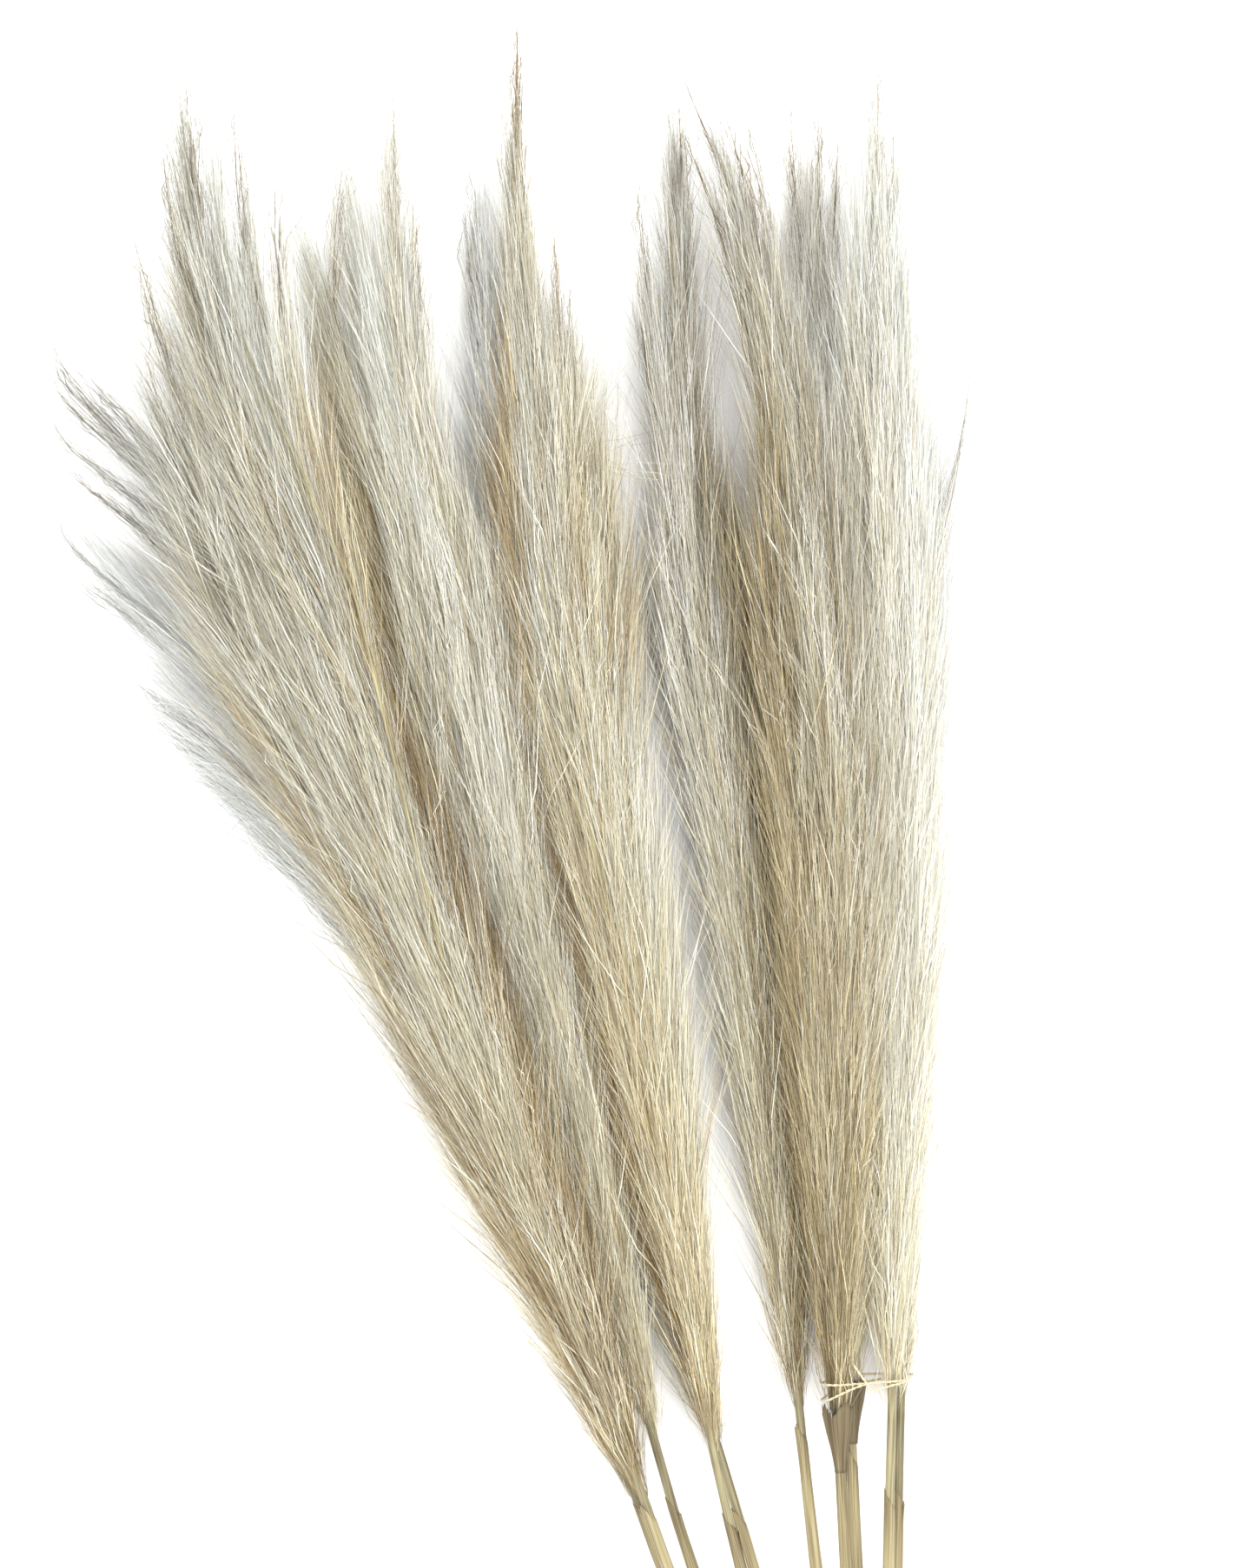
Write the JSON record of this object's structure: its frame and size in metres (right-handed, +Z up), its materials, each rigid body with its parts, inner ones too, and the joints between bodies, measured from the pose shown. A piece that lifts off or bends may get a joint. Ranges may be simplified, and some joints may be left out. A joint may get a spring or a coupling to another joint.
{
  "type": "bundle of pampas grass",
  "caption": "Tied bundle of dried pampas grass lying flat: long feathery cream and grey plumes fanning out from thin tan culms bound with twine.",
  "frame": {"origin": "centre of the bottom face of the bounding box, on the surface that the bundle lies on", "axes": "+Y along the stalks from the cut ends to the plume tips; +Z up from the surface; +X to the right as seen from above with the tips away from the viewer"},
  "size_m": [0.3966, 1.061, 0.0837],
  "materials": {
    "plume_cream": "soft dry silky hair, warm cream",
    "plume_grey": "soft dry silky hair, cool greyish cream",
    "culm": "dry straw-coloured culm, satin, finely ribbed lengthwise",
    "sheath": "dry papery leaf sheath, matt, veined lengthwise",
    "twine": "coarse natural twine, matt and hairy",
    "strand": "fine pale strand, matt"
  },
  "bodies": {
    "root": {"culm_01": "culm", "sheath_01": "sheath", "plume_01": "plume_grey", "culm_02": "culm", "sheath_02": "sheath", "plume_02": "plume_grey", "culm_03": "culm", "sheath_03": "sheath", "plume_03": "plume_cream", "culm_04": "culm", "sheath_04": "sheath", "plume_04": "plume_cream", "culm_05": "culm", "sheath_05": "sheath", "plume_05": "plume_cream", "culm_06": "culm", "sheath_06": "sheath", "plume_06": "plume_grey", "culm_07": "culm", "sheath_07": "sheath", "plume_07": "plume_grey", "culm_08": "culm", "sheath_08": "sheath", "plume_08": "plume_grey", "culm_09": "culm", "sheath_09": "sheath", "plume_09": "plume_grey", "culm_10": "culm", "sheath_10": "sheath", "plume_10": "plume_cream", "culm_11": "culm", "sheath_11": "sheath", "plume_11": "plume_grey", "twine_tie": "twine", "binding_strand": "strand"}
  },
  "joints": []
}
